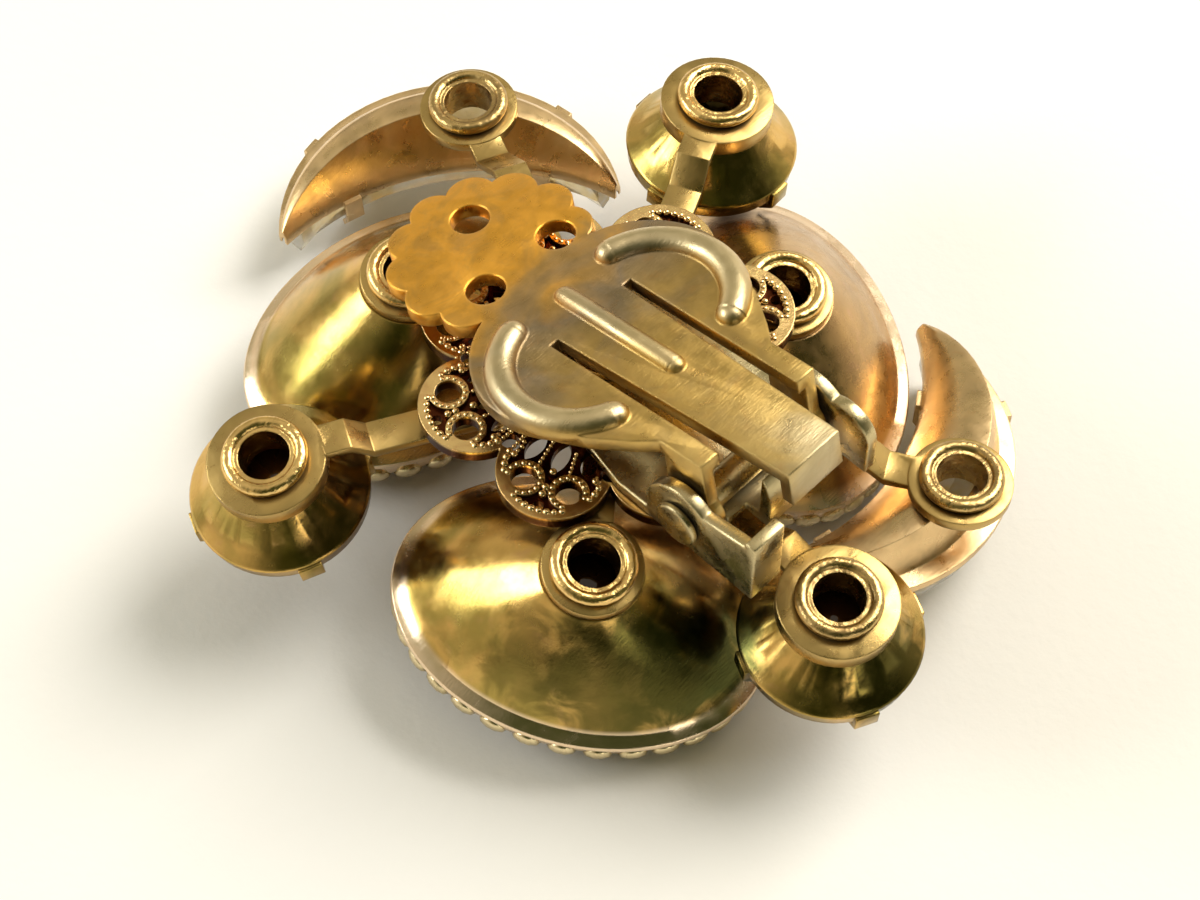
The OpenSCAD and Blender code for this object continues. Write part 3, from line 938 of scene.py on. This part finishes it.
SMALL_STONE = Stone("golden_glass_small", (0.8, 0.4, 0.08), (0.55, 0.22, 0.03), 0.8, 5.0 * MM)
CLEAR_STONE = Stone("clear_glass", (1.0, 0.98, 0.92), (0.98, 0.72, 0.2), 0.62, streak=0.75)


# Modelling helpers


def take(pieces: Sequence[Piece]) -> None:
    """Selects only some objects, with the first one active.

    Args:
        pieces: The objects.
    """
    bpy.ops.object.select_all(action="DESELECT")
    for piece in pieces:
        piece.select_set(True)
    bpy.context.view_layer.objects.active = pieces[0]


def settle(piece: Piece) -> None:
    """Puts an object's place into its mesh.

    Args:
        piece: The object.
    """
    take([piece])
    bpy.ops.object.transform_apply(location=True, rotation=True, scale=True)


def joined(parts: Sequence[Piece], name: str) -> Piece:
    """Joins several meshes into one, shaded smooth.

    Args:
        parts: The meshes' objects.
        name: The new piece's name.

    Returns:
        The piece.
    """
    take(parts)
    bpy.ops.object.join()
    whole = bpy.context.view_layer.objects.active
    whole.name = name
    settle(whole)
    bpy.ops.object.shade_smooth()
    return whole


def dress(piece: Piece, material: bpy.types.Material) -> None:
    """Gives an object one material.

    Args:
        piece: The object.
        material: The material.
    """
    piece.data.materials.clear()
    piece.data.materials.append(material)


def touches(piece: Piece, point: Vector, reach: float) -> bool:
    """Tests whether an object's surface comes near a point.

    Args:
        piece: The object.
        point: The point.
        reach: The distance that counts as near.

    Returns:
        True if it does.
    """
    return piece.closest_point_on_mesh(point, distance=reach)[0]


def copied(source: Piece, matrix: Matrix) -> Piece:
    """A copy of a modelled shape with its own mesh, put in place.

    Args:
        source: The shape.
        matrix: The copy's place.

    Returns:
        The copy.
    """
    copy = source.copy()
    copy.data = source.data.copy()
    copy.matrix_world = matrix
    bpy.context.scene.collection.objects.link(copy)
    return copy


@dataclass(frozen=True)
class Rounding:
    """Turns a node's loose faces into one smooth skin with rounded edges.

    Args:
        limit: Angle in degrees past which an edge stays sharp.
        edge: Width of the rounded edges, or 0 for none.
        rings: How many faces go round an edge.
        weld: Distance under which loose corners are merged.
        flat: Angle in degrees under which neighbouring faces become one.
    """

    limit: float = 34.0
    edge: float = 0.0
    rings: int = 2
    weld: float = 0.002 * MM
    flat: float = 1.5

    def apply(self, node: Piece, body: Body, slot: Slot) -> Piece:
        """Makes the smooth piece that stands for a node.

        Args:
            node: The node.
            body: The body that the piece rides on.
            slot: The record's material slot; not used.

        Returns:
            The piece.
        """
        piece = bpy.data.objects.new(f"smooth_{node.name}", node.data.copy())
        bpy.context.scene.collection.objects.link(piece)
        settle(piece)
        bpy.ops.mesh.customdata_custom_splitnormals_clear()
        bpy.ops.object.mode_set(mode="EDIT")
        bpy.ops.mesh.select_all(action="SELECT")
        bpy.ops.mesh.remove_doubles(threshold=self.weld)
        if self.edge:
            bpy.ops.mesh.dissolve_limited(angle_limit=math.radians(self.flat))
        bpy.ops.object.mode_set(mode="OBJECT")
        if self.edge:
            bevel = piece.modifiers.new("rounded", "BEVEL")
            bevel.width = self.edge
            bevel.segments = self.rings
            bevel.limit_method = "ANGLE"
            bevel.angle_limit = math.radians(self.limit)
            bevel.use_clamp_overlap = True
            bpy.ops.object.modifier_apply(modifier=bevel.name)
        bpy.ops.object.shade_smooth_by_angle(angle=math.radians(self.limit))
        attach(piece, body.value)
        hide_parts(node.name)
        return piece


# Sub-assemblies


@dataclass(frozen=True)
class Part:
    """How the nodes of one kind are finished.

    Args:
        start: Start of the nodes' names.
        finish: Their material.
        slot: Their slot.
        rounding: Their smooth skin, or None where the cut faces stay.
    """

    start: str
    finish: Metal | Stone
    slot: Slot
    rounding: Rounding | None = None


@dataclass
class Setting:
    """The cups, stones, eyelets and the arm frame that carries them.

    Args:
        nodes: The frame's nodes.
        parts: How each kind of node is finished.
    """

    nodes: dict[str, Piece]
    parts: tuple[Part, ...] = (
        Part("cup_large_left", LEFT_CUP_METAL, Slot.CUP, Rounding(30.0)),
        Part("cup_large_bottom", BOTTOM_CUP_METAL, Slot.CUP, Rounding(30.0)),
        Part("cup_large_right", ROSY_CUP_METAL, Slot.CUP, Rounding(30.0)),
        Part("cup_small", CUP_METAL, Slot.CUP, Rounding(34.0, 0.04 * MM)),
        Part("cup_crescent", CRESCENT_METAL, Slot.CUP, Rounding(52.0)),
        Part("eyelet_large", GILT_METAL, Slot.GILT, Rounding(40.0)),
        Part("eyelet_small_left", GILT_METAL, Slot.GILT, Rounding(40.0)),
        Part("eyelet_small_top", GILT_METAL, Slot.GILT, Rounding(40.0)),
        Part("eyelet_small_bottom", WORN_GILT_METAL, Slot.GILT, Rounding(40.0)),
        Part("eyelet_crescent", WORN_GILT_METAL, Slot.GILT, Rounding(40.0)),
        Part("arm_frame", SHEET_METAL, Slot.SHEET, Rounding(34.0, 0.07 * MM)),
        Part("centre_rivet", GILT_METAL, Slot.GILT),
        Part("stone_large", LARGE_STONE, Slot.GOLDEN),
        Part("stone_small", SMALL_STONE, Slot.GOLDEN),
        Part("stone_crescent", CLEAR_STONE, Slot.CLEAR),
    )

    def build(self) -> list[Piece]:
        """Gives every piece of the setting its finish, and its skin where it has one.

        Returns:
            The pieces that show.
        """
        materials: dict[str, bpy.types.Material] = {}
        shown = []
        for part in self.parts:
            if part.finish.name not in materials:
                materials[part.finish.name] = part.finish.build()
            for name, node in self.nodes.items():
                if not name.startswith(part.start):
                    continue
                dress(node, materials[part.finish.name])
                if part.rounding:
                    shown.append(part.rounding.apply(node, Body.SETTING, part.slot))
                else:
                    shown.append(node)
        return shown


@dataclass(frozen=True)
class OvalPlace:
    """Where one large oval cup sits.

    Args:
        name: The cup's side.
        bearing: Its bearing from the plate's centre, in degrees.
        reach: Its distance from the plate's centre, in millimetres.
        height: Height of its top, in millimetres.
        turn: Turn of its oval, in degrees.
        lean_x: Its lean about X, in degrees.
        lean_y: Its lean about Y, in degrees.
    """

    name: str
    bearing: float
    reach: float
    height: float
    turn: float
    lean_x: float
    lean_y: float

    def matrix(self) -> Matrix:
        """The cup's place.

        Returns:
            The place's matrix.
        """
        angle = math.radians(self.bearing)
        at = Vector((math.cos(angle), math.sin(angle), 0.0)) * self.reach * MM
        at += Vector((PLATE_X, PLATE_Y, self.height * MM))
        return (
            Matrix.Translation(at)
            @ Matrix.Rotation(math.radians(self.lean_y), 4, "Y")
            @ Matrix.Rotation(math.radians(self.lean_x), 4, "X")
            @ Matrix.Rotation(math.radians(self.turn), 4, "Z")
        )


@dataclass
class Scallops:
    """The row of rounded teeth that folds over each large oval stone.

    Args:
        places: Where the oval cups sit.
        half_length: Half the length of a cup over its teeth.
        half_width: Half its width.
        inset: How far inside that oval the teeth stand.
        drop: How far under the cup's top they stand.
        count: How many teeth a cup has.
        lean: How far a tooth leans in at its tip, in degrees.
        half_size: Half the thickness, width and height of a tooth before it is cut.
        back: How far behind its middle a tooth is cut flat.
    """

    places: tuple[OvalPlace, ...] = (
        OvalPlace("left", 102.6, 8.82, 6.90, -10.0, 4.5, -2.8),
        OvalPlace("bottom", -139.8, 8.19, 7.18, 120.0, 10.5, -2.5),
        OvalPlace("right", -15.9, 7.57, 7.00, 60.0, 5.6, -0.6),
    )
    half_length: float = 7.1 * MM
    half_width: float = 5.2 * MM
    inset: float = 0.3 * MM
    drop: float = 5.2 * MM
    count: int = 32
    lean: float = 12.0
    half_size: Point = (0.26 * MM, 0.56 * MM, 0.52 * MM)
    back: float = 0.08 * MM

    def tooth(self) -> Piece:
        """Models one tooth: a rounded shell that is cut flat at its back.

        Returns:
            The tooth, about its own centre.
        """
        bpy.ops.object.select_all(action="DESELECT")
        bpy.ops.mesh.primitive_uv_sphere_add(segments=10, ring_count=6, radius=1.0)
        tooth = bpy.context.object
        bpy.ops.object.mode_set(mode="EDIT")
        bpy.ops.transform.resize(value=self.half_size)
        bpy.ops.mesh.bisect(plane_co=(-self.back, 0, 0), plane_no=(-1, 0, 0), clear_outer=True)
        # The cut's ring is left selected. Bisect's own fill would double the faces beside it.
        bpy.ops.mesh.edge_face_add()
        bpy.ops.object.mode_set(mode="OBJECT")
        return tooth

    def build(self) -> list[Piece]:
        """Sets the teeth round each large cup.

        Returns:
            One piece per cup.
        """
        tooth = self.tooth()
        lean = Matrix.Rotation(math.radians(self.lean), 4, "Y")
        rows = []
        for place in self.places:
            cup = place.matrix()
            teeth = []
            for k in range(self.count):
                angle = 2 * math.pi * (k + 0.5) / self.count
                x = (self.half_length - self.inset) * math.cos(angle)
                y = (self.half_width - self.inset) * math.sin(angle)
                out = math.atan2(y * self.half_length**2, x * self.half_width**2)
                spot = Matrix.Translation((x, y, -self.drop)) @ Matrix.Rotation(out, 4, "Z")
                teeth.append(copied(tooth, cup @ spot @ lean))
            rows.append(joined(teeth, f"teeth_large_{place.name}"))
        bpy.data.objects.remove(tooth)
        return rows

    def dress(self, rows: Sequence[Piece]) -> None:
        """Finishes the teeth.

        Args:
            rows: One piece per cup.
        """
        material = TOOTH_METAL.build()
        for row in rows:
            dress(row, material)
            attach(row, Body.SETTING.value)


def polar(reach: float, bearing: float) -> tuple[float, float]:
    """X and Y of a point at a distance and a bearing, in radians, from the plate's centre."""
    return reach * math.cos(bearing), reach * math.sin(bearing)


@dataclass(frozen=True)
class Grain:
    """One grain of a beaded wire.

    Args:
        x: X from the plate's centre.
        y: Y from the plate's centre.
        size: The grain's radius.
    """

    x: float
    y: float
    size: float


@dataclass
class Lace:
    """The pierced plate and the beaded wires that lie on it.

    Args:
        plate: The plate's own node.
        bracket: The clip's bracket, under which no wire is added.
        level: Height of the middle of the grains.
        lobe_count: How many lobes the plate has.
        lobe_reach: From the plate's centre to a lobe's centre.
        border_r: Radius of a lobe's border.
        border_count: How many grains a whole border would have.
        ring_reach: From the plate's centre to the centre of a lobe's ring.
        ring_turn: Turn of a lobe's rings from its middle, in degrees.
        ring_r: Radius of a lobe's rings.
        ring_count: How many grains a ring has.
        spoke_turns: Turns of the straight wires from a lobe's middle, in degrees.
        spoke_start: Where those wires start from the plate's centre.
        spoke_end: Where they end.
        spoke_pitch: How far apart their grains lie, in radii of a grain.
        studs: Single grains of a lobe, each with its reach and its turn in degrees.
        valley_reach: From the plate's centre to the centre of a ring between two lobes.
        valley_r: Radius of that ring.
        valley_count: How many grains it has.
        hoops: Radii of the round wires about the plate's centre, each with its grains.
        border_grain: Radius of a border's grains.
        ring_grain: Radius of a ring's and a hoop's grains.
        fine_grain: Radius of the grains of the straight wires and of the valleys' rings.
        seat: How near the plate a grain's foot has to lie.
        clearance: How far from the bracket a grain has to lie.
        grain_stretch: How a grain is wider than it is high.
        grain_foot: How far under its middle a grain is cut flat, in radii.
        least: Least size of a grain against its radius.
        most: Most size of a grain against its radius.
        seed: Start of the random sizes and turns.
    """

    plate: Piece
    bracket: Piece
    level: float = 8.56 * MM
    lobe_count: int = 8
    lobe_reach: float = 5.2 * MM
    border_r: float = 1.78 * MM
    border_count: int = 40
    ring_reach: float = 5.98 * MM
    ring_turn: float = 8.2
    ring_r: float = 0.62 * MM
    ring_count: int = 16
    spoke_turns: tuple[float, ...] = (-19.5, -6.5, 6.5, 19.5)
    spoke_start: float = 3.95 * MM
    spoke_end: float = 5.3 * MM
    spoke_pitch: float = 1.9
    studs: tuple[tuple[float, float], ...] = (
        (5.98 * MM, 0.0),
        (6.28 * MM, 0.0),
        (5.35 * MM, -17.0),
        (5.35 * MM, 17.0),
        (5.3 * MM, 0.0),
    )
    valley_reach: float = 5.02 * MM
    valley_r: float = 0.5 * MM
    valley_count: int = 14
    hoops: tuple[tuple[float, int], ...] = ((3.75 * MM, 96), (2.3 * MM, 60))
    border_grain: float = 0.145 * MM
    ring_grain: float = 0.12 * MM
    fine_grain: float = 0.085 * MM
    seat: float = 0.12 * MM
    clearance: float = 0.3 * MM
    grain_stretch: Point = (1.05, 1.05, 1.0)
    grain_foot: float = 0.75
    least: float = 0.92
    most: float = 1.08
    seed: int = 7

    def circle(
        self, centre: tuple[float, float], radius: float, count: int, size: float
    ) -> list[Grain]:
        """The grains of one round wire.

        Args:
            centre: X and Y of the circle's centre.
            radius: The circle's radius.
            count: How many grains go round it.
            size: Radius of a grain.

        Returns:
            The grains.
        """
        found = []
        for k in range(count):
            x, y = polar(radius, k * (2 * math.pi / count))
            found.append(Grain(centre[0] + x, centre[1] + y, size))
        return found

    def spoke(self, bearing: float) -> list[Grain]:
        """The fine grains of one straight wire that runs outwards.

        Args:
            bearing: The wire's bearing in radians.

        Returns:
            The grains.
        """
        length = self.spoke_end - self.spoke_start
        count = round(length / (self.spoke_pitch * self.fine_grain))
        found = []
        for k in range(count):
            reach = self.spoke_start + length * k / (count - 1)
            found.append(Grain(*polar(reach, bearing), self.fine_grain))
        return found

    def lobe(self, bearing: float) -> list[Grain]:
        """The grains of one lobe.

        Args:
            bearing: The lobe's bearing in radians.

        Returns:
            The grains.
        """
        centre = polar(self.lobe_reach, bearing)
        border = self.circle(centre, self.border_r, self.border_count, self.border_grain)
        found = [grain for grain in border if math.hypot(grain.x, grain.y) > self.lobe_reach]
        for side in (-1, 1):
            centre = polar(self.ring_reach, bearing + math.radians(self.ring_turn) * side)
            found += self.circle(centre, self.ring_r, self.ring_count, self.ring_grain)
        for degrees in self.spoke_turns:
            found += self.spoke(bearing + math.radians(degrees))
        for reach, degrees in self.studs:
            spot = polar(reach, bearing + math.radians(degrees))
            found.append(Grain(*spot, self.border_grain))
        centre = polar(self.valley_reach, bearing + math.radians(180 / self.lobe_count))
        found += self.circle(centre, self.valley_r, self.valley_count, self.fine_grain)
        return found

    def grains(self) -> list[Grain]:
        """Every grain that lies on the plate and clear of the bracket.

        Returns:
            The grains.
        """
        found: list[Grain] = []
        step = 360 / self.lobe_count
        for lobe in range(self.lobe_count):
            found += self.lobe(math.radians(step / 2 + step * lobe))
        for radius, count in self.hoops:
            found += self.circle((0.0, 0.0), radius, count, self.ring_grain)
        kept = []
        for grain in found:
            point = Vector((PLATE_X + grain.x, PLATE_Y + grain.y, self.level))
            foot = point - Vector((0.0, 0.0, grain.size))
            on_plate = touches(self.plate, foot, self.seat)
            if on_plate and not touches(self.bracket, point, self.clearance):
                kept.append(grain)
        return kept

    def build(self) -> Piece:
        """Models the beaded wires as one piece.

        Returns:
            The wires' object.
        """
        bpy.ops.object.select_all(action="DESELECT")
        bpy.ops.mesh.primitive_ico_sphere_add(subdivisions=2, radius=1.0)
        grain = bpy.context.object
        bpy.ops.object.mode_set(mode="EDIT")
        bpy.ops.transform.resize(value=self.grain_stretch)
        bpy.ops.mesh.bisect(
            plane_co=(0, 0, -self.grain_foot), plane_no=(0, 0, -1), use_fill=True, clear_outer=True
        )
        bpy.ops.object.mode_set(mode="OBJECT")
        dice = random.Random(self.seed)
        copies = []
        for spot in self.grains():
            size = spot.size * dice.uniform(self.least, self.most)
            at = Vector((PLATE_X + spot.x, PLATE_Y + spot.y, self.level))
            turn = Matrix.Rotation(dice.uniform(0, math.pi), 4, "Z")
            copies.append(copied(grain, Matrix.Translation(at) @ turn @ Matrix.Scale(size, 4)))
        bpy.data.objects.remove(grain)
        return joined(copies, "lace_grains")

    def dress(self, wires: Piece) -> None:
        """Finishes the plate and its wires.

        Args:
            wires: The wires' object.
        """
        dress(self.plate, PLATE_METAL.build())
        dress(wires, BEAD_METAL.build())
        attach(wires, Body.SETTING.value)


@dataclass
class Clip:
    """The bracket, its pin and the paddle.

    Args:
        nodes: The frame's nodes.
        rounding: Skin of the sheet pieces.
    """

    nodes: dict[str, Piece]
    rounding: Rounding = Rounding(34.0, 0.09 * MM)

    def build(self) -> list[Piece]:
        """Gives the clip's pieces their skins and finishes.

        Returns:
            The pieces that show.
        """
        shown = []
        pale = PALE_METAL.build()
        for name in ("clip_bracket", "hinge_pin"):
            dress(self.nodes[name], pale)
            shown.append(self.rounding.apply(self.nodes[name], Body.SETTING, Slot.PALE))
        paddle = self.nodes["clip_paddle"]
        dress(paddle, PADDLE_METAL.build())
        shown.append(self.rounding.apply(paddle, Body.CLIP, Slot.CLIP))
        return shown


# Studio


def aimed(name: str, data: bpy.types.ID, at: Vector, aim: Vector) -> Piece:
    """Sets up a light or a camera, turned to a point.

    Args:
        name: Its name.
        data: The light or the camera.
        at: Where it stands.
        aim: The point that it faces.

    Returns:
        Its object.
    """
    stand = bpy.data.objects.new(name, data)
    bpy.context.scene.collection.objects.link(stand)
    stand.location = at
    stand.rotation_euler = (aim - at).to_track_quat("-Z", "Y").to_euler()
    return stand


@dataclass(frozen=True)
class Light:
    """One rectangular soft light.

    Args:
        name: Its name.
        at: Where it stands.
        width: Its width.
        height: Its height.
        power: Its power in watts.
        tint: Its colour.
    """

    name: str
    at: Point
    width: float
    height: float
    power: float
    tint: Color

    def build(self, aim: Vector) -> None:
        """Adds the light.

        Args:
            aim: The point that it faces.
        """
        data = bpy.data.lights.new(self.name, "AREA")
        data.shape = "RECTANGLE"
        data.size = self.width
        data.size_y = self.height
        data.energy = self.power
        data.color = self.tint
        aimed(self.name, data, Vector(self.at), aim)


@dataclass(frozen=True)
class Sky:
    """A sky that is bright at the horizon and dark on the camera's side.

    Args:
        power: Its strength.
        dark_side: The way to the middle of its dark side.
        height_stops: Its colours, each at its height from 0, level, to 1, straight up.
        dark_stops: What is left of them, from 0, square to the dark side, to 1, in its middle.
    """

    power: float = 1.0
    dark_side: Point = (-0.27, -0.8, 0.45)
    height_stops: tuple[tuple[float, Color], ...] = (
        (0.0, (0.5, 0.45, 0.35)),
        (0.2, (0.82, 0.75, 0.6)),
        (0.5, (0.38, 0.36, 0.24)),
        (0.85, (0.64, 0.59, 0.47)),
    )
    dark_stops: tuple[tuple[float, Color], ...] = (
        (0.3, (1.0, 1.0, 1.0)),
        (0.82, (0.1, 0.13, 0.06)),
    )

    def build(self) -> None:
        """Adds the sky."""
        world = bpy.data.worlds.new("sky")
        bpy.context.scene.world = world
        world.use_nodes = True
        nodes = Nodes(world.node_tree, "Generated")
        tints = []
        for way, stops in ((UP, self.height_stops), (self.dark_side, self.dark_stops)):
            along = nodes.measure(Measure.ALONG, Vector(way).normalized())
            tints.append(nodes.ramp(along, stops, Run.EASE))
        background = nodes.tree.nodes["Background"]
        nodes.join(nodes.mix(1.0, *tints, Blend.MULTIPLY), background.inputs["Color"])
        nodes.join(self.power, background.inputs["Strength"])


@dataclass
class Studio:
    """A pale floor, soft lights and the camera.

    Args:
        camera_at: Where the camera stands, in millimetres.
        aim: Point that the camera and the lights face, in millimetres.
        lens: Focal length in millimetres.
        nearest: Least distance that the camera sees.
        floor_size: Length of the floor's sides.
        floor_drop: How far the floor lies under the earring.
        lights: The soft lights.
    """

    camera_at: Point = (-43.6, -43.36, 96.97)
    aim: Point = (-1.9, -2.6, 5.0)
    lens: float = 88.0
    nearest: float = 0.001
    floor_size: float = 0.9
    floor_drop: float = 0.01 * MM
    lights: tuple[Light, ...] = (
        Light("key", (0.29, -0.06, 0.32), 0.28, 0.28, 2.1, (1.0, 0.97, 0.92)),
        Light("fill", (-0.26, 0.3, 0.22), 0.26, 0.12, 0.95, (0.93, 0.97, 1.0)),
        Light("low", (-0.12, -0.42, 0.09), 0.16, 0.06, 0.12, (1.0, 0.95, 0.86)),
    )

    def build_floor(self) -> None:
        """Adds the floor."""
        bpy.ops.mesh.primitive_plane_add(size=self.floor_size, location=(0, 0, -self.floor_drop))
        floor = bpy.context.object
        floor.name = "floor"
        dress(floor, FloorFinish().build())

    def build_camera(self, aim: Vector) -> None:
        """Adds the camera at the photo's angle.

        Args:
            aim: The point that it faces.
        """
        data = bpy.data.cameras.new("camera")
        data.lens = self.lens
        data.clip_start = self.nearest
        camera = aimed("camera", data, Vector(self.camera_at) * MM, aim)
        bpy.context.scene.camera = camera

    def build(self) -> None:
        """Sets the whole studio."""
        bpy.context.scene.view_settings.view_transform = "Standard"
        aim = Vector(self.aim) * MM
        self.build_floor()
        for light in self.lights:
            light.build(aim)
        Sky().build()
        self.build_camera(aim)


def report(pieces: Iterable[Piece]) -> None:
    """Logs each finished piece.

    Args:
        pieces: The pieces.
    """
    for piece in pieces:
        LOG.info("%s in %s", piece.name, piece.data.materials[0].name)


def main() -> None:
    """Builds and dresses everything in order."""
    logging.basicConfig(level=logging.INFO, format="%(name)s: %(message)s")
    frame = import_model()
    nodes = frame["nodes"]
    report(Setting(nodes).build())
    scallops = Scallops()
    rows = scallops.build()
    scallops.dress(rows)
    report(rows)
    lace = Lace(nodes["filigree_plate"], nodes["clip_bracket"])
    wires = lace.build()
    lace.dress(wires)
    report([lace.plate, wires])
    report(Clip(nodes).build())
    Studio().build()


if __name__ == "__main__":
    main()
